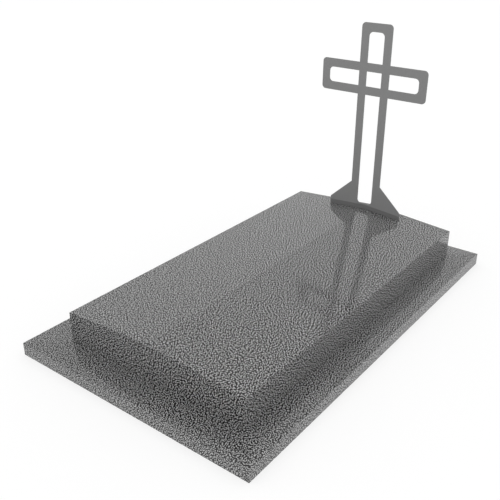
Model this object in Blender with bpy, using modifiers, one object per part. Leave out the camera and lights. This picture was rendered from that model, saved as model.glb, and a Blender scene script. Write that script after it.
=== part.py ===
"""Grave monument of polished granite with an openwork steel cross.

A thin plinth slab, whose top falls outwards all round, carries a thicker ledger slab,
whose top falls to both sides from a lengthwise ridge. Near the head end a flat steel cross stands on the ridge. It is cut
from one plate, with a frame-like shaft and crossbar and a flared foot, and it rests on
a low foot rail that follows the fall of the ledger.

Frame: +X to the right, +Y towards the head end, +Z up, metres. The origin is the middle
of the plinth's underside. The cross faces the foot end, along -Y.
"""

import math

import bmesh
import bpy

# Plinth slab, with the rise of its top from its edges to the foot of the ledger
PLINTH_LENGTH = 2.000
PLINTH_WIDTH = 1.217
PLINTH_EDGE_HEIGHT = 0.060
PLINTH_RISE = 0.008

# Ledger slab, with its shift from the middle of the plinth
LEDGER_LENGTH = 1.736
LEDGER_WIDTH = 0.933
LEDGER_SIDE_HEIGHT = 0.137
LEDGER_RIDGE_RISE = 0.0355
LEDGER_SHIFT_RIGHT = 0.020
LEDGER_SHIFT_HEADWARD = 0.005

# Sawn and polished edges of both slabs are broken by a narrow arris
ARRIS_WIDTH = 0.001
ARRIS_LEAST_ANGLE = math.radians(30)

# Foot rail under the cross
RAIL_HEIGHT = 0.024
RAIL_DEPTH = 0.010

# Cross plate, measured along its own face from the middle of its lower edge
CROSS_THICKNESS = 0.003
CROSS_SETBACK = 0.085
CROSS_HEIGHT = 0.951
CROSS_BAR_WIDTH = 0.043
SHAFT_WIDTH = 0.170
CROSSBAR_DROP = 0.194
CROSSBAR_HEIGHT = 0.161
LEFT_ARM_LENGTH = 0.2145
RIGHT_ARM_LENGTH = 0.203
FOOT_WIDTH = 0.421
FOOT_FLARE_TOP = 0.1195
FOOT_END_HEIGHT = 0.019
FOOT_WEB_HEIGHT = 0.005
END_CORNER_RADIUS = 0.020
OPENING_CORNER_RADIUS = 0.021
ARC_STEPS = 6

# Bed joint between pieces that rest on each other
BED_JOINT = 0.0003

# Heights and places that follow from the sizes above
LEDGER_UNDERSIDE_Z = PLINTH_EDGE_HEIGHT + PLINTH_RISE + BED_JOINT
RIDGE_Z = LEDGER_UNDERSIDE_Z + LEDGER_SIDE_HEIGHT + LEDGER_RIDGE_RISE
RIDGE_X = LEDGER_SHIFT_RIGHT
LEDGER_HEAD_Y = LEDGER_SHIFT_HEADWARD + LEDGER_LENGTH / 2
CROSS_FRONT_Y = LEDGER_HEAD_Y - CROSS_SETBACK
RAIL_BASE_Z = RIDGE_Z + BED_JOINT
CROSS_BASE_Z = RAIL_BASE_Z + RAIL_HEIGHT + BED_JOINT

OBJECT_NAME = "grave_monument"


def clear_scene():
    """Remove what the file holds, so that the model starts from nothing."""
    for item in list(bpy.data.objects):
        bpy.data.objects.remove(item, do_unlink=True)


def new_collection(name):
    """Add a collection under the scene and give it back."""
    collection = bpy.data.collections.new(name)
    bpy.context.scene.collection.children.link(collection)
    return collection


def make_material(name, color, roughness, metallic):
    """A plain surface material with one colour, roughness and metallic value."""
    material = bpy.data.materials.new(name)
    material.use_nodes = True
    shader = material.node_tree.nodes["Principled BSDF"]
    shader.inputs["Base Color"].default_value = (*color, 1.0)
    shader.inputs["Roughness"].default_value = roughness
    shader.inputs["Metallic"].default_value = metallic
    return material


def break_edges(item):
    """Break the outer edges of a slab, but not its shallow ridge."""
    bevel = item.modifiers.new("arris", "BEVEL")
    bevel.limit_method = "ANGLE"
    bevel.angle_limit = ARRIS_LEAST_ANGLE
    bevel.width = ARRIS_WIDTH


def ledger_fall(distance):
    """How far the ledger's top has dropped at this distance from its ridge."""
    return LEDGER_RIDGE_RISE * abs(distance) / (LEDGER_WIDTH / 2)


def rounded_outline(corners):
    """Points of a closed outline from (across, up, radius) corners, in order.

    A corner with a radius becomes an arc that touches both of its straight sides.
    """
    points = []
    count = len(corners)
    for index, (across, up, radius) in enumerate(corners):
        if radius == 0:
            points.append((across, up))
            continue
        before = corners[index - 1]
        after = corners[(index + 1) % count]
        to_before = math.atan2(before[1] - up, before[0] - across)
        to_after = math.atan2(after[1] - up, after[0] - across)
        opening = (to_after - to_before + math.pi) % (2 * math.pi) - math.pi
        middle = to_before + opening / 2
        half = abs(opening) / 2
        centre_across = across + radius / math.sin(half) * math.cos(middle)
        centre_up = up + radius / math.sin(half) * math.sin(middle)
        sweep = math.copysign(math.pi - 2 * half, -opening)
        start = middle + math.pi - sweep / 2
        for step in range(ARC_STEPS + 1):
            angle = start + sweep * step / ARC_STEPS
            points.append((centre_across + radius * math.cos(angle), centre_up + radius * math.sin(angle)))
    return points


def upright_plate(name, outlines, thickness, collection, material):
    """A plate or prism that stands upright, from its outline and those of its openings.

    The outlines are drawn across and up. The plate's own depth runs along Y.
    """
    curve = bpy.data.curves.new(name, "CURVE")
    curve.dimensions = "2D"
    curve.fill_mode = "BOTH"
    curve.extrude = thickness / 2
    for outline in outlines:
        points = rounded_outline(outline)
        spline = curve.splines.new("POLY")
        spline.points.add(len(points) - 1)
        for point, (across, up) in zip(spline.points, points):
            point.co = (across, up, 0.0, 1.0)
        spline.use_cyclic_u = True
    curve.materials.append(material)
    item = bpy.data.objects.new(name, curve)
    item.rotation_euler = (math.radians(90), 0.0, 0.0)
    collection.objects.link(item)
    return item


def make_plinth(collection):
    """The thin slab that everything stands on, highest where the ledger rests on it."""
    mesh = bpy.data.meshes.new("plinth_slab")
    shape = bmesh.new()
    bmesh.ops.create_cube(shape, size=1.0)
    bmesh.ops.scale(shape, vec=(PLINTH_WIDTH, PLINTH_LENGTH, PLINTH_EDGE_HEIGHT), verts=shape.verts)
    top = [face for face in shape.faces if face.normal.z > 0.5]
    raised = bmesh.ops.extrude_face_region(shape, geom=top)
    seat = [part for part in raised["geom"] if isinstance(part, bmesh.types.BMVert)]
    bmesh.ops.delete(shape, geom=top, context="FACES_ONLY")
    to_ledger = (LEDGER_WIDTH / PLINTH_WIDTH, LEDGER_LENGTH / PLINTH_LENGTH, 1.0)
    bmesh.ops.scale(shape, vec=to_ledger, verts=seat)
    bmesh.ops.translate(shape, vec=(LEDGER_SHIFT_RIGHT, LEDGER_SHIFT_HEADWARD, PLINTH_RISE), verts=seat)
    shape.to_mesh(mesh)
    shape.free()
    plinth = bpy.data.objects.new("plinth_slab", mesh)
    plinth.location = (0.0, 0.0, PLINTH_EDGE_HEIGHT / 2)
    mesh.materials.append(make_material("plinth granite", (0.13, 0.13, 0.13), 0.15, 0.0))
    collection.objects.link(plinth)
    break_edges(plinth)
    return plinth


def make_ledger(collection):
    """The thick slab on the plinth, gabled across its width."""
    half = LEDGER_WIDTH / 2
    profile = [
        (-half, 0.0, 0),
        (half, 0.0, 0),
        (half, LEDGER_SIDE_HEIGHT, 0),
        (0.0, LEDGER_SIDE_HEIGHT + LEDGER_RIDGE_RISE, 0),
        (-half, LEDGER_SIDE_HEIGHT, 0),
    ]
    material = make_material("ledger granite", (0.14, 0.14, 0.14), 0.12, 0.0)
    ledger = upright_plate("ledger_slab", [profile], LEDGER_LENGTH, collection, material)
    ledger.location = (RIDGE_X, LEDGER_SHIFT_HEADWARD, LEDGER_UNDERSIDE_Z)
    weld = ledger.modifiers.new("close ends", "WELD")
    weld.merge_threshold = 0.00005
    break_edges(ledger)
    return ledger


def make_foot_rail(collection):
    """The low rail that lies over the ridge and carries the cross plate."""
    half = FOOT_WIDTH / 2
    end = -ledger_fall(half)
    profile = [
        (-half, end, 0),
        (0.0, 0.0, 0),
        (half, end, 0),
        (half, end + RAIL_HEIGHT, 0),
        (0.0, RAIL_HEIGHT, 0),
        (-half, end + RAIL_HEIGHT, 0),
    ]
    material = make_material("rail paint", (0.10, 0.10, 0.10), 0.5, 0.0)
    rail = upright_plate("foot_rail", [profile], RAIL_DEPTH, collection, material)
    rail.location = (RIDGE_X, CROSS_FRONT_Y + RAIL_DEPTH / 2, RAIL_BASE_Z)
    return rail


def cross_outline():
    """The cross plate's outer edge, from the left end of its foot."""
    shaft = SHAFT_WIDTH / 2
    foot = FOOT_WIDTH / 2
    left = shaft + LEFT_ARM_LENGTH
    right = shaft + RIGHT_ARM_LENGTH
    bar_top = CROSS_HEIGHT - CROSSBAR_DROP
    bar_bottom = bar_top - CROSSBAR_HEIGHT
    foot_edge = -ledger_fall(foot)
    foot_end = foot_edge + FOOT_END_HEIGHT
    return [
        (-foot, foot_edge, 0),
        (0.0, 0.0, 0),
        (foot, foot_edge, 0),
        (foot, foot_end, 0),
        (shaft, FOOT_FLARE_TOP, 0),
        (shaft, bar_bottom, 0),
        (right, bar_bottom, END_CORNER_RADIUS),
        (right, bar_top, END_CORNER_RADIUS),
        (shaft, bar_top, 0),
        (shaft, CROSS_HEIGHT, END_CORNER_RADIUS),
        (-shaft, CROSS_HEIGHT, END_CORNER_RADIUS),
        (-shaft, bar_top, 0),
        (-left, bar_top, END_CORNER_RADIUS),
        (-left, bar_bottom, END_CORNER_RADIUS),
        (-shaft, bar_bottom, 0),
        (-shaft, FOOT_FLARE_TOP, 0),
        (-foot, foot_end, 0),
    ]


def opening(left, right, bottom, top, rounded):
    """A four-sided opening whose corners are rounded on one named side."""
    corners = [("left", "bottom"), ("right", "bottom"), ("right", "top"), ("left", "top")]
    place = {"left": left, "right": right, "bottom": bottom, "top": top}
    outline = []
    for side, level in corners:
        radius = OPENING_CORNER_RADIUS if rounded in (side, level) else 0
        outline.append((place[side], place[level], radius))
    return outline


def cross_openings():
    """The five openings: above, in and beside the crossing, and down the shaft."""
    shaft = SHAFT_WIDTH / 2
    inner = shaft - CROSS_BAR_WIDTH
    bar_top = CROSS_HEIGHT - CROSSBAR_DROP
    bar_bottom = bar_top - CROSSBAR_HEIGHT
    inner_top = bar_top - CROSS_BAR_WIDTH
    inner_bottom = bar_bottom + CROSS_BAR_WIDTH
    left_end = -shaft - LEFT_ARM_LENGTH + CROSS_BAR_WIDTH
    right_end = shaft + RIGHT_ARM_LENGTH - CROSS_BAR_WIDTH
    return [
        opening(-inner, inner, bar_top, CROSS_HEIGHT - CROSS_BAR_WIDTH, "top"),
        opening(-inner, inner, inner_bottom, inner_top, None),
        opening(left_end, -shaft, inner_bottom, inner_top, "left"),
        opening(shaft, right_end, inner_bottom, inner_top, "right"),
        opening(-inner, inner, FOOT_WEB_HEIGHT, bar_bottom, "bottom"),
    ]


def make_cross(collection):
    """The openwork cross, cut from one steel plate, on the rail and flush with its front."""
    material = make_material("cross paint", (0.22, 0.22, 0.22), 0.45, 0.0)
    outlines = [cross_outline()] + cross_openings()
    cross = upright_plate("openwork_cross", outlines, CROSS_THICKNESS, collection, material)
    cross.location = (RIDGE_X, CROSS_FRONT_Y + CROSS_THICKNESS / 2, CROSS_BASE_Z)
    return cross


def main():
    """Model the four pieces of the monument."""
    clear_scene()
    collection = new_collection(OBJECT_NAME)
    make_plinth(collection)
    make_ledger(collection)
    make_foot_rail(collection)
    make_cross(collection)


main()
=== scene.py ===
"""Grave monument: two polished granite slabs and a painted openwork steel cross.

The four pieces stand for the four CAD nodes and keep their sizes. Metres throughout:
+X to the right, +Y towards the head end, +Z up, with the origin in the middle of the
plinth's underside.
"""

import math

import bpy
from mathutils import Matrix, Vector


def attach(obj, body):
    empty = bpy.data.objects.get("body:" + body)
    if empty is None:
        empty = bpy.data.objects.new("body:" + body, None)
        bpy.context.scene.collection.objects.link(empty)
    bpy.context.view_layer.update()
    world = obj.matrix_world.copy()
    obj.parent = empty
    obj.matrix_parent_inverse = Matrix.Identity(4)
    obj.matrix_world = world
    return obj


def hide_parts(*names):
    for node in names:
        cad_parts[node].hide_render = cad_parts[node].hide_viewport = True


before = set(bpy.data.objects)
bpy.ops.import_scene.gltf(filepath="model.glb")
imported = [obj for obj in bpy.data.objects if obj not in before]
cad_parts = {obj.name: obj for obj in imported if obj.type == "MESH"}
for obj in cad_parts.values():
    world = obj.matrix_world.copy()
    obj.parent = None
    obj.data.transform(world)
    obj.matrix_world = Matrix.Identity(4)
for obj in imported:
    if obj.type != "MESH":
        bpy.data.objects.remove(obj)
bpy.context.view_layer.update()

# Plinth slab, whose top rises from its edges to the foot of the ledger
PLINTH_LENGTH = 2.000
PLINTH_WIDTH = 1.217
PLINTH_EDGE_HEIGHT = 0.060
PLINTH_RISE = 0.008

# Ledger slab
LEDGER_LENGTH = 1.736
LEDGER_WIDTH = 0.933
LEDGER_SIDE_HEIGHT = 0.137
LEDGER_RIDGE_RISE = 0.0355
LEDGER_MIDDLE_X = 0.020
LEDGER_MIDDLE_Y = 0.005

# Broken edges
ARRIS_WIDTH = 0.001
ARRIS_STEPS = 3
RIDGE_ARRIS = 0.0003
PLATE_EDGE = 0.0005
RAIL_EDGE = 0.0006
EDGE_STEPS = 2

# Foot rail
RAIL_HEIGHT = 0.024
RAIL_DEPTH = 0.010

# Cross plate, measured from the middle of its lower edge
CROSS_THICKNESS = 0.003
CROSS_SETBACK = 0.085
CROSS_HEIGHT = 0.951
BAR_WIDTH = 0.043
SHAFT_HALF = 0.085
CROSSBAR_DROP = 0.194
CROSSBAR_HEIGHT = 0.161
LEFT_ARM = 0.2145
RIGHT_ARM = 0.203
FOOT_HALF = 0.2105
FOOT_FLARE_TOP = 0.1195
FOOT_END_HEIGHT = 0.019
FOOT_WEB_HEIGHT = 0.005
END_RADIUS = 0.020
OPENING_RADIUS = 0.021
CORNER_STEPS = 10

# Joints and levels
BED_JOINT = 0.0003
PLINTH_TOP_Z = PLINTH_EDGE_HEIGHT + PLINTH_RISE
LEDGER_BASE_Z = PLINTH_TOP_Z + BED_JOINT
LEDGER_EDGE_Z = LEDGER_BASE_Z + LEDGER_SIDE_HEIGHT
RIDGE_Z = LEDGER_EDGE_Z + LEDGER_RIDGE_RISE
CROSS_FRONT_Y = LEDGER_MIDDLE_Y + LEDGER_LENGTH / 2 - CROSS_SETBACK
RAIL_BASE_Z = RIDGE_Z + BED_JOINT
CROSS_BASE_Z = RAIL_BASE_Z + RAIL_HEIGHT + BED_JOINT
LEDGER_FALL = LEDGER_RIDGE_RISE / (LEDGER_WIDTH / 2)

# How far a cutter reaches past what it cuts and under the foot, and how near is the same place
CUT_PAST = 0.02
FOOT_CUT_DEPTH = 0.06
SAME_PLACE = 0.0001

# Angles in degrees: edges sharper than these are broken, or stay sharp in the shading. Then
# how much more a broad face counts than a narrow one where they meet
BROKEN_EDGE_ANGLE = 30.0
SHARP_EDGE_ANGLE = 50.0
FACE_WEIGHT = 100

# Granite: the greys from a crystal's heart outwards, how much crystals differ, and the polish
MINERALS = [(0.0, 0.600), (0.255, 0.600), (0.335, 0.010), (1.0, 0.010)]
CRYSTAL_SPREAD = 0.15
CRYSTAL_ROUGHNESS = 0.08
GROUND_ROUGHNESS = 0.10
POLISH_REACH = (0.3, 0.7)
PIT_STRENGTH = 0.02
PIT_DEPTH = 0.0002

# Crystals in a metre, and where each slab's pattern starts and how it is turned
PLINTH_GRAIN = 160.0
PLINTH_GRAIN_START = (3.1, 1.7, 0.0)
PLINTH_GRAIN_TURN = 1.1
LEDGER_GRAIN = 146.0
LEDGER_GRAIN_START = (0.3, 5.2, 0.0)
LEDGER_GRAIN_TURN = 0.3

# A face faces along an axis where its normal has more than this along it
FACING = 0.6

# How far the ledger's sides dip in their mirror images, and the painted light and shade at its ridge:
# paler just left of it, darker just right
SIDE_DIP = 0.058
RIDGE_SHADE_STEP_REACH = 0.020
RIDGE_SHADE_STEP = [(0.0, 1.0), (0.15, 1.05), (0.49, 1.05), (0.51, 0.88), (0.80, 0.90), (1.0, 1.0)]

# Paint: darkest and lightest grey of each, then the weathering and the peel they share
RAIL_GREYS = (0.182, 0.191)
CROSS_GREYS = (0.271, 0.279)
PAINT_ROUGHNESS = 0.7
ROUGHNESS_SPREAD = 0.05
PAINT_GLOSS = 0.08
WEATHER_SCALE = 14.0
WEATHER_DETAIL = 5.0
WEATHER_ROUGHNESS = 0.6
WEATHER_COLOUR_REACH = (0.25, 0.75)
WEATHER_SHEEN_REACH = (0.3, 0.7)
PEEL_SCALE = 500.0
PEEL_DETAIL = 2.0
PEEL_STRENGTH = 0.1
PEEL_DEPTH = 0.0002

# Floor, light and backdrop: what lights the stone, and what the camera sees
FLOOR_SIZE = 60.0
LIGHT_STRENGTH = 0.877
FLOOR_SHADE = 0.35
FLOOR_GLOW = 0.70
BACKDROP_STRENGTH = 1.0

# Camera, with its turn in degrees and its lens and sensor in millimetres
CAMERA_PLACE = (1.6660, -2.3693, 1.7316)
CAMERA_TURN = (63.559, 0.0, 37.582)
CAMERA_LENS = 50.0
SENSOR_WIDTH = 36.0


# Modelling


def deselect():
    """Leave object mode with nothing selected."""
    if bpy.context.object and bpy.context.object.mode != "OBJECT":
        bpy.ops.object.mode_set(mode="OBJECT")
    bpy.ops.object.select_all(action="DESELECT")


def choose(item):
    """Make one piece the only selected and active one."""
    deselect()
    item.select_set(True)
    bpy.context.view_layer.objects.active = item


def add_block(name, low, high):
    """A cube primitive at its size and place, between two corners."""
    deselect()
    low = Vector(low)
    high = Vector(high)
    bpy.ops.mesh.primitive_cube_add(size=1.0, location=(low + high) / 2, scale=high - low)
    block = bpy.context.object
    block.name = name
    block.data.name = name
    bpy.ops.object.transform_apply(location=True, rotation=True, scale=True)
    return block


def edit(item):
    """Open a piece for editing with nothing in it selected."""
    choose(item)
    bpy.ops.object.mode_set(mode="EDIT")
    bpy.ops.mesh.select_mode(type="VERT")
    bpy.ops.mesh.select_all(action="DESELECT")


def pick_points(item, wanted):
    """In edit mode, select the points whose place passes the test."""
    bpy.ops.mesh.select_mode(type="VERT")
    bpy.ops.mesh.select_all(action="DESELECT")
    bpy.ops.object.mode_set(mode="OBJECT")
    for point in item.data.vertices:
        point.select = wanted(point.co)
    bpy.ops.object.mode_set(mode="EDIT")


def pick_edges(item, wanted):
    """In edit mode, select the edges whose two ends pass the test together."""
    bpy.ops.mesh.select_mode(type="EDGE")
    bpy.ops.mesh.select_all(action="DESELECT")
    bpy.ops.object.mode_set(mode="OBJECT")
    points = item.data.vertices
    for edge in item.data.edges:
        start, end = edge.vertices
        edge.select = wanted(points[start].co, points[end].co)
    bpy.ops.object.mode_set(mode="EDIT")


def apply_modifier(item, kind, **settings):
    """Add one modifier, set it and apply it."""
    choose(item)
    modifier = item.modifiers.new(kind.lower(), kind)
    for key, value in settings.items():
        setattr(modifier, key, value)
    bpy.ops.object.modifier_apply(modifier=modifier.name)


def cut_away(item, cutters):
    """Cut each cutter out of a piece and remove the cutter."""
    for cutter in cutters:
        apply_modifier(item, "BOOLEAN", operation="DIFFERENCE", solver="EXACT", object=cutter)
        bpy.data.objects.remove(cutter, do_unlink=True)


def break_edges(item, width, steps):
    """Round a piece's sharp edges a little."""
    apply_modifier(
        item, "BEVEL", width=width, segments=steps, limit_method="ANGLE",
        angle_limit=math.radians(BROKEN_EDGE_ANGLE))


def smooth(item):
    """Shade the broken edges smoothly and keep the broad faces flat."""
    choose(item)
    bpy.ops.object.shade_smooth_by_angle(angle=math.radians(SHARP_EDGE_ANGLE))
    apply_modifier(item, "WEIGHTED_NORMAL", mode="FACE_AREA", weight=FACE_WEIGHT, keep_sharp=True)


def raise_middle(item, above_z, rise):
    """Split a block along the line of the ridge and lift the points there above a level."""
    edit(item)
    bpy.ops.mesh.select_all(action="SELECT")
    bpy.ops.mesh.bisect(plane_co=(LEDGER_MIDDLE_X, 0.0, 0.0), plane_no=(1.0, 0.0, 0.0))
    pick_points(
        item, lambda place: abs(place.x - LEDGER_MIDDLE_X) < SAME_PLACE and place.z > above_z)
    bpy.ops.transform.translate(value=(0.0, 0.0, rise))
    bpy.ops.object.mode_set(mode="OBJECT")


def finish_piece(item, node, material):
    """Give a piece its material and its place on the monument's one body."""
    item.data.materials.clear()
    item.data.materials.append(material)
    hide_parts(node)
    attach(item, "root")


def make_plinth(material):
    """The thin slab, whose top falls outwards all round from the foot of the ledger."""
    half_x = PLINTH_WIDTH / 2
    half_y = PLINTH_LENGTH / 2
    plinth = add_block("plinth", (-half_x, -half_y, 0.0), (half_x, half_y, PLINTH_EDGE_HEIGHT))
    edit(plinth)
    pick_points(plinth, lambda place: place.z > PLINTH_EDGE_HEIGHT / 2)
    bpy.ops.mesh.select_mode(type="FACE")
    bpy.ops.mesh.extrude_region_move(
        TRANSFORM_OT_translate={"value": (LEDGER_MIDDLE_X, LEDGER_MIDDLE_Y, PLINTH_RISE)})
    bpy.ops.transform.resize(
        value=(LEDGER_WIDTH / PLINTH_WIDTH, LEDGER_LENGTH / PLINTH_LENGTH, 1.0),
        center_override=(LEDGER_MIDDLE_X, LEDGER_MIDDLE_Y, PLINTH_TOP_Z))
    bpy.ops.object.mode_set(mode="OBJECT")
    break_edges(plinth, ARRIS_WIDTH, ARRIS_STEPS)
    edit(plinth)
    pick_edges(plinth, lambda start, end: min(start.z, end.z) > PLINTH_EDGE_HEIGHT)
    bpy.ops.mesh.mark_sharp()
    bpy.ops.object.mode_set(mode="OBJECT")
    smooth(plinth)
    finish_piece(plinth, "plinth_slab", material)


def make_ledger(material):
    """The thick slab, whose top falls to both sides from its ridge."""
    low = (LEDGER_MIDDLE_X - LEDGER_WIDTH / 2, LEDGER_MIDDLE_Y - LEDGER_LENGTH / 2, LEDGER_BASE_Z)
    high = (LEDGER_MIDDLE_X + LEDGER_WIDTH / 2, LEDGER_MIDDLE_Y + LEDGER_LENGTH / 2, LEDGER_EDGE_Z)
    ledger = add_block("ledger", low, high)
    raise_middle(ledger, LEDGER_EDGE_Z - SAME_PLACE, LEDGER_RIDGE_RISE)
    edit(ledger)
    pick_edges(ledger, lambda start, end: min(start.z, end.z) > RIDGE_Z - LEDGER_RIDGE_RISE / 2)
    bpy.ops.mesh.bevel(offset=RIDGE_ARRIS, segments=EDGE_STEPS, affect="EDGES")
    bpy.ops.object.mode_set(mode="OBJECT")
    break_edges(ledger, ARRIS_WIDTH, ARRIS_STEPS)
    smooth(ledger)
    finish_piece(ledger, "ledger_slab", material)


def make_rail(material):
    """The low rail that follows the fall of the ledger under the cross."""
    end_drop = LEDGER_FALL * FOOT_HALF
    base_z = RAIL_BASE_Z - end_drop
    low = (LEDGER_MIDDLE_X - FOOT_HALF, CROSS_FRONT_Y, base_z)
    high = (LEDGER_MIDDLE_X + FOOT_HALF, CROSS_FRONT_Y + RAIL_DEPTH, base_z + RAIL_HEIGHT)
    rail = add_block("rail", low, high)
    raise_middle(rail, 0.0, end_drop)
    break_edges(rail, RAIL_EDGE, EDGE_STEPS)
    smooth(rail)
    finish_piece(rail, "foot_rail", material)


def plate_block(name, left, right, bottom, top, past=0.0):
    """A block across the plate, from sizes that are measured on the plate."""
    low = (LEDGER_MIDDLE_X + left, CROSS_FRONT_Y - past, CROSS_BASE_Z + bottom)
    high = (LEDGER_MIDDLE_X + right, CROSS_FRONT_Y + CROSS_THICKNESS + past, CROSS_BASE_Z + top)
    return add_block(name, low, high)


def round_corners(item, corners, radius):
    """Round the upright plate's corners at the given places."""
    places = [(LEDGER_MIDDLE_X + across, CROSS_BASE_Z + up) for across, up in corners]

    def at_corner(point):
        return any(
            abs(point.x - x) < SAME_PLACE and abs(point.z - z) < SAME_PLACE for x, z in places)

    def across_plate(start, end):
        return at_corner(start) and at_corner(end) and abs(start.y - end.y) > SAME_PLACE

    edit(item)
    pick_edges(item, across_plate)
    bpy.ops.mesh.bevel(offset=radius, segments=CORNER_STEPS, affect="EDGES")
    bpy.ops.object.mode_set(mode="OBJECT")


def side_cutters(side, arm, bar_top, bar_bottom, foot_drop):
    """Three cutters for one side of the cross: above its arm, under its arm and past its foot."""
    far = max(SHAFT_HALF + arm, FOOT_HALF) + CUT_PAST
    beside_shaft = sorted((side * SHAFT_HALF, side * far))
    past_foot = sorted((side * FOOT_HALF, side * far))
    above = plate_block("above arm", *beside_shaft, bar_top, CROSS_HEIGHT + CUT_PAST, CUT_PAST)
    below = plate_block("below arm", *beside_shaft, FOOT_FLARE_TOP, bar_bottom, CUT_PAST)

    # The outer lower edge of the second goes down with the flare of the foot
    flare_fall = (FOOT_FLARE_TOP - FOOT_END_HEIGHT + foot_drop) / (FOOT_HALF - SHAFT_HALF)
    inner_x = LEDGER_MIDDLE_X + side * SHAFT_HALF
    flare_z = CROSS_BASE_Z + FOOT_FLARE_TOP
    edit(below)
    pick_points(
        below, lambda place: abs(place.x - inner_x) > SAME_PLACE and place.z < flare_z + SAME_PLACE)
    bpy.ops.transform.translate(value=(0.0, 0.0, -flare_fall * (far - SHAFT_HALF)))
    bpy.ops.object.mode_set(mode="OBJECT")
    beyond = plate_block("beyond foot", *past_foot, -FOOT_CUT_DEPTH, bar_bottom, CUT_PAST)
    return [above, below, beyond]


def make_cross(material):
    """The openwork cross, cut from one plate, with its corners rounded as in the solid."""
    bar_top = CROSS_HEIGHT - CROSSBAR_DROP
    bar_bottom = bar_top - CROSSBAR_HEIGHT
    foot_drop = LEDGER_FALL * FOOT_HALF
    left = -SHAFT_HALF - LEFT_ARM
    right = SHAFT_HALF + RIGHT_ARM
    cross = plate_block("cross", left, right, -foot_drop, CROSS_HEIGHT)
    cut_away(cross, side_cutters(-1, LEFT_ARM, bar_top, bar_bottom, foot_drop))
    cut_away(cross, side_cutters(1, RIGHT_ARM, bar_top, bar_bottom, foot_drop))

    # The lower edge follows the fall of the ledger
    reach = FOOT_HALF + CUT_PAST
    reach_drop = LEDGER_FALL * reach
    under = plate_block("under foot", -reach, reach, -FOOT_CUT_DEPTH, -reach_drop, CUT_PAST)
    raise_middle(under, CROSS_BASE_Z - reach_drop - SAME_PLACE, reach_drop)
    cut_away(cross, [under])

    ends = [(left, bar_top), (left, bar_bottom), (right, bar_top), (right, bar_bottom)]
    ends += [(-SHAFT_HALF, CROSS_HEIGHT), (SHAFT_HALF, CROSS_HEIGHT)]
    round_corners(cross, ends, END_RADIUS)

    inner = SHAFT_HALF - BAR_WIDTH
    inner_top = bar_top - BAR_WIDTH
    inner_bottom = bar_bottom + BAR_WIDTH
    left_end = left + BAR_WIDTH
    right_end = right - BAR_WIDTH
    head_top = CROSS_HEIGHT - BAR_WIDTH

    # Each opening's left, right, bottom and top, then the corners that are round
    openings = [
        (-inner, inner, bar_top, head_top, [(-inner, head_top), (inner, head_top)]),
        (-inner, inner, inner_bottom, inner_top, []),
        (left_end, -SHAFT_HALF, inner_bottom, inner_top,
         [(left_end, inner_bottom), (left_end, inner_top)]),
        (SHAFT_HALF, right_end, inner_bottom, inner_top,
         [(right_end, inner_bottom), (right_end, inner_top)]),
        (-inner, inner, FOOT_WEB_HEIGHT, bar_bottom,
         [(-inner, FOOT_WEB_HEIGHT), (inner, FOOT_WEB_HEIGHT)]),
    ]
    cutters = []
    for *extent, rounded in openings:
        cutter = plate_block("opening", *extent, CUT_PAST)
        if rounded:
            round_corners(cutter, rounded, OPENING_RADIUS)
        cutters.append(cutter)
    cut_away(cross, cutters)

    break_edges(cross, PLATE_EDGE, EDGE_STEPS)
    smooth(cross)
    finish_piece(cross, "openwork_cross", material)


# Materials


def add_node(tree, kind, inputs=None, **settings):
    """A shader node with its settings and the plain values of its sockets."""
    node = tree.nodes.new(kind)
    for key, value in settings.items():
        setattr(node, key, value)
    for key, value in (inputs or {}).items():
        node.inputs[key].default_value = value
    return node


def grey(value):
    """A neutral grey."""
    return (value, value, value, 1.0)


def set_ramp(node, stops):
    """Fill a colour ramp with (place, grey) stops."""
    ramp = node.color_ramp
    while len(ramp.elements) > 1:
        ramp.elements.remove(ramp.elements[-1])
    ramp.elements[0].position = stops[0][0]
    ramp.elements[0].color = grey(stops[0][1])
    for place, value in stops[1:]:
        ramp.elements.new(place).color = grey(value)


def start_material(name):
    """A material with its tree, shader and a coordinate node."""
    material = bpy.data.materials.new(name)
    material.use_nodes = True
    tree = material.node_tree
    shader = tree.nodes["Principled BSDF"]
    place = add_node(tree, "ShaderNodeTexCoord")
    return material, tree, shader, place.outputs["Object"]


def lay_on_faces(tree, place):
    """Coordinates that lie flat on each face of a slab: across and along it, or up its sides."""
    link = tree.links.new
    geometry = add_node(tree, "ShaderNodeNewGeometry")
    facing = add_node(tree, "ShaderNodeSeparateXYZ")
    link(geometry.outputs["Normal"], facing.inputs["Vector"])
    point = add_node(tree, "ShaderNodeSeparateXYZ")
    link(place, point.inputs["Vector"])
    flat = add_node(tree, "ShaderNodeCombineXYZ")

    # Across is x, or y on a face that faces along x; along is z, or y on a face that faces up
    choices = [("X", "X", "Y", "X"), ("Z", "Z", "Y", "Y")]
    for axis, usual, chosen, target in choices:
        size = add_node(tree, "ShaderNodeMath", operation="ABSOLUTE")
        link(facing.outputs[axis], size.inputs[0])
        turned = add_node(tree, "ShaderNodeMath", {1: FACING}, operation="GREATER_THAN")
        link(size.outputs["Value"], turned.inputs[0])
        pick = add_node(tree, "ShaderNodeMix", data_type="FLOAT")
        link(turned.outputs["Value"], pick.inputs["Factor"])
        link(point.outputs[usual], pick.inputs["A"])
        link(point.outputs[chosen], pick.inputs["B"])
        link(pick.outputs["Result"], flat.inputs[target])
    return flat.outputs["Vector"]


def paint_ridge_shade(tree, place):
    """Painted light and shade at the ridge: a gain that is paler just left of it and darker just right
    of it, as the two slopes catch the light differently.
    """
    link = tree.links.new
    point = add_node(tree, "ShaderNodeSeparateXYZ")
    link(place, point.inputs["Vector"])
    across = add_node(
        tree, "ShaderNodeMapRange",
        {"From Min": LEDGER_MIDDLE_X - RIDGE_SHADE_STEP_REACH,
         "From Max": LEDGER_MIDDLE_X + RIDGE_SHADE_STEP_REACH})
    link(point.outputs["X"], across.inputs["Value"])
    painted_step = add_node(tree, "ShaderNodeValToRGB")
    set_ramp(painted_step, RIDGE_SHADE_STEP)
    link(across.outputs["Result"], painted_step.inputs["Fac"])
    return painted_step.outputs["Color"]


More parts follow.
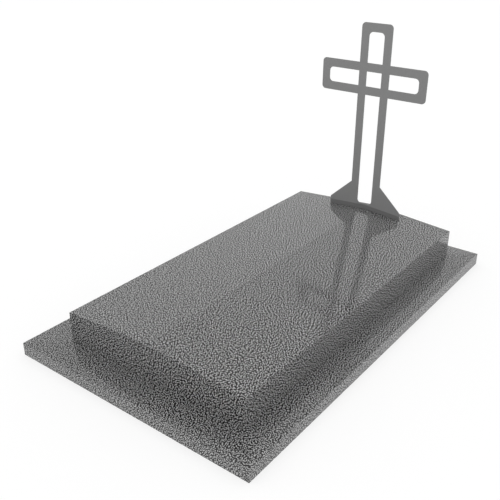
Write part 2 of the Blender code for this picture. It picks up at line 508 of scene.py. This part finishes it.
def dip_sides(tree):
    """Shading normals that dip a little on the upright faces, as their mirror images do."""
    link = tree.links.new
    geometry = add_node(tree, "ShaderNodeNewGeometry")
    facing = add_node(tree, "ShaderNodeSeparateXYZ")
    link(geometry.outputs["Normal"], facing.inputs["Vector"])
    size = add_node(tree, "ShaderNodeMath", operation="ABSOLUTE")
    link(facing.outputs["Z"], size.inputs[0])
    upright = add_node(tree, "ShaderNodeMath", {1: FACING}, operation="LESS_THAN")
    link(size.outputs["Value"], upright.inputs[0])
    drop = add_node(tree, "ShaderNodeMath", {1: -SIDE_DIP}, operation="MULTIPLY")
    link(upright.outputs["Value"], drop.inputs[0])
    down = add_node(tree, "ShaderNodeCombineXYZ")
    link(drop.outputs["Value"], down.inputs["Z"])
    dipped = add_node(tree, "ShaderNodeVectorMath", operation="ADD")
    link(geometry.outputs["Normal"], dipped.inputs[0])
    link(down.outputs["Vector"], dipped.inputs[1])
    unit = add_node(tree, "ShaderNodeVectorMath", operation="NORMALIZE")
    link(dipped.outputs["Vector"], unit.inputs[0])
    return unit.outputs["Vector"]


def make_granite(name, grain, start, turn, ridge_shade_and_sides=False):
    """Polished granite: pale crystals a few millimetres apart in a dark ground.

    The ledger's also has painted light and shade at its ridge and the dip of its sides.
    """
    material, tree, shader, place = start_material(name)
    link = tree.links.new

    moved = add_node(tree, "ShaderNodeMapping", {"Location": start, "Rotation": (0.0, 0.0, turn)})
    link(lay_on_faces(tree, place), moved.inputs["Vector"])

    # Each crystal is pale at its heart and dark towards its neighbours
    cells = add_node(
        tree, "ShaderNodeTexVoronoi", {"Scale": grain}, voronoi_dimensions="2D", feature="F1")
    link(moved.outputs["Vector"], cells.inputs["Vector"])
    crystal = add_node(tree, "ShaderNodeValToRGB")
    set_ramp(crystal, MINERALS)
    link(cells.outputs["Distance"], crystal.inputs["Fac"])

    # Crystals differ a little in tone
    cell_value = add_node(tree, "ShaderNodeSeparateColor")
    link(cells.outputs["Color"], cell_value.inputs["Color"])
    gain = add_node(
        tree, "ShaderNodeMapRange",
        {"To Min": 1.0 - CRYSTAL_SPREAD, "To Max": 1.0 + CRYSTAL_SPREAD})
    link(cell_value.outputs["Red"], gain.inputs["Value"])
    colour = add_node(tree, "ShaderNodeVectorMath", operation="SCALE")
    link(crystal.outputs["Color"], colour.inputs[0])
    link(gain.outputs["Result"], colour.inputs["Scale"])
    finished = colour
    # Painted light and shade: paler just left of the ridge, darker just right of it
    if ridge_shade_and_sides:
        finished = add_node(tree, "ShaderNodeVectorMath", operation="MULTIPLY")
        link(colour.outputs["Vector"], finished.inputs[0])
        link(paint_ridge_shade(tree, place), finished.inputs[1])
    link(finished.outputs["Vector"], shader.inputs["Base Color"])

    # The dark ground takes the polish less well than the crystals
    near, far = POLISH_REACH
    polish = add_node(
        tree, "ShaderNodeMapRange",
        {"From Min": near, "From Max": far, "To Min": CRYSTAL_ROUGHNESS, "To Max": GROUND_ROUGHNESS})
    link(cells.outputs["Distance"], polish.inputs["Value"])
    link(polish.outputs["Result"], shader.inputs["Roughness"])

    pits = add_node(tree, "ShaderNodeBump", {"Strength": PIT_STRENGTH, "Distance": PIT_DEPTH})
    link(cell_value.outputs["Red"], pits.inputs["Height"])
    if ridge_shade_and_sides:
        link(dip_sides(tree), pits.inputs["Normal"])
    link(pits.outputs["Normal"], shader.inputs["Normal"])
    return material


def make_paint(name, greys):
    """Matt paint on steel, with a fine orange peel and faint weathering."""
    material, tree, shader, place = start_material(name)
    link = tree.links.new

    weather = add_node(
        tree, "ShaderNodeTexNoise",
        {"Scale": WEATHER_SCALE, "Detail": WEATHER_DETAIL, "Roughness": WEATHER_ROUGHNESS})
    link(place, weather.inputs["Vector"])
    colour = add_node(tree, "ShaderNodeValToRGB")
    set_ramp(colour, list(zip(WEATHER_COLOUR_REACH, greys)))
    link(weather.outputs["Fac"], colour.inputs["Fac"])
    link(colour.outputs["Color"], shader.inputs["Base Color"])

    low, high = WEATHER_SHEEN_REACH
    sheen = add_node(
        tree, "ShaderNodeMapRange",
        {"From Min": low, "From Max": high,
         "To Min": PAINT_ROUGHNESS - ROUGHNESS_SPREAD, "To Max": PAINT_ROUGHNESS + ROUGHNESS_SPREAD})
    link(weather.outputs["Fac"], sheen.inputs["Value"])
    link(sheen.outputs["Result"], shader.inputs["Roughness"])
    shader.inputs["Specular IOR Level"].default_value = PAINT_GLOSS

    peel = add_node(tree, "ShaderNodeTexNoise", {"Scale": PEEL_SCALE, "Detail": PEEL_DETAIL})
    link(place, peel.inputs["Vector"])
    ripple = add_node(tree, "ShaderNodeBump", {"Strength": PEEL_STRENGTH, "Distance": PEEL_DEPTH})
    link(peel.outputs["Fac"], ripple.inputs["Height"])
    link(ripple.outputs["Normal"], shader.inputs["Normal"])
    return material


def make_floor():
    """A plain pale floor, large enough to fill the view."""
    deselect()
    bpy.ops.mesh.primitive_plane_add(size=FLOOR_SIZE, location=(0.0, 0.0, 0.0))
    floor = bpy.context.object
    floor.name = "floor"
    material = bpy.data.materials.new("pale floor")
    material.use_nodes = True
    tree = material.node_tree
    shader = tree.nodes["Principled BSDF"]
    shader.inputs["Roughness"].default_value = 1.0
    shader.inputs["Specular IOR Level"].default_value = 0.0
    shader.inputs["Emission Color"].default_value = grey(1.0)

    # The camera sees a shaded white floor; the monument only sees an even glow
    rays = add_node(tree, "ShaderNodeLightPath")
    shade = add_node(tree, "ShaderNodeMapRange", {"To Min": 0.0, "To Max": FLOOR_SHADE})
    tree.links.new(rays.outputs["Is Camera Ray"], shade.inputs["Value"])
    tree.links.new(shade.outputs["Result"], shader.inputs["Base Color"])
    glow = add_node(tree, "ShaderNodeMapRange", {"To Min": LIGHT_STRENGTH, "To Max": FLOOR_GLOW})
    tree.links.new(rays.outputs["Is Camera Ray"], glow.inputs["Value"])
    tree.links.new(glow.outputs["Result"], shader.inputs["Emission Strength"])
    floor.data.materials.append(material)


# Light and camera


def make_light():
    """Even white studio light from all round."""
    scene = bpy.context.scene
    world = bpy.data.worlds.new("studio light")
    world.use_nodes = True
    background = world.node_tree.nodes["Background"]
    background.inputs["Color"].default_value = grey(1.0)
    rays = add_node(world.node_tree, "ShaderNodeLightPath")
    strength = add_node(
        world.node_tree, "ShaderNodeMapRange", {"To Min": LIGHT_STRENGTH, "To Max": BACKDROP_STRENGTH})
    world.node_tree.links.new(rays.outputs["Is Camera Ray"], strength.inputs["Value"])
    world.node_tree.links.new(strength.outputs["Result"], background.inputs["Strength"])
    scene.world = world
    scene.view_settings.view_transform = "Standard"


def make_camera():
    """The camera at the photograph's place."""
    data = bpy.data.cameras.new("camera")
    data.lens = CAMERA_LENS
    data.sensor_width = SENSOR_WIDTH
    camera = bpy.data.objects.new("camera", data)
    camera.location = CAMERA_PLACE
    camera.rotation_euler = [math.radians(angle) for angle in CAMERA_TURN]
    bpy.context.scene.collection.objects.link(camera)
    bpy.context.scene.camera = camera


make_plinth(make_granite("plinth granite", PLINTH_GRAIN, PLINTH_GRAIN_START, PLINTH_GRAIN_TURN))
make_ledger(make_granite(
    "ledger granite", LEDGER_GRAIN, LEDGER_GRAIN_START, LEDGER_GRAIN_TURN, ridge_shade_and_sides=True))
make_rail(make_paint("rail paint", RAIL_GREYS))
make_cross(make_paint("cross paint", CROSS_GREYS))
make_floor()
make_light()
make_camera()
deselect()
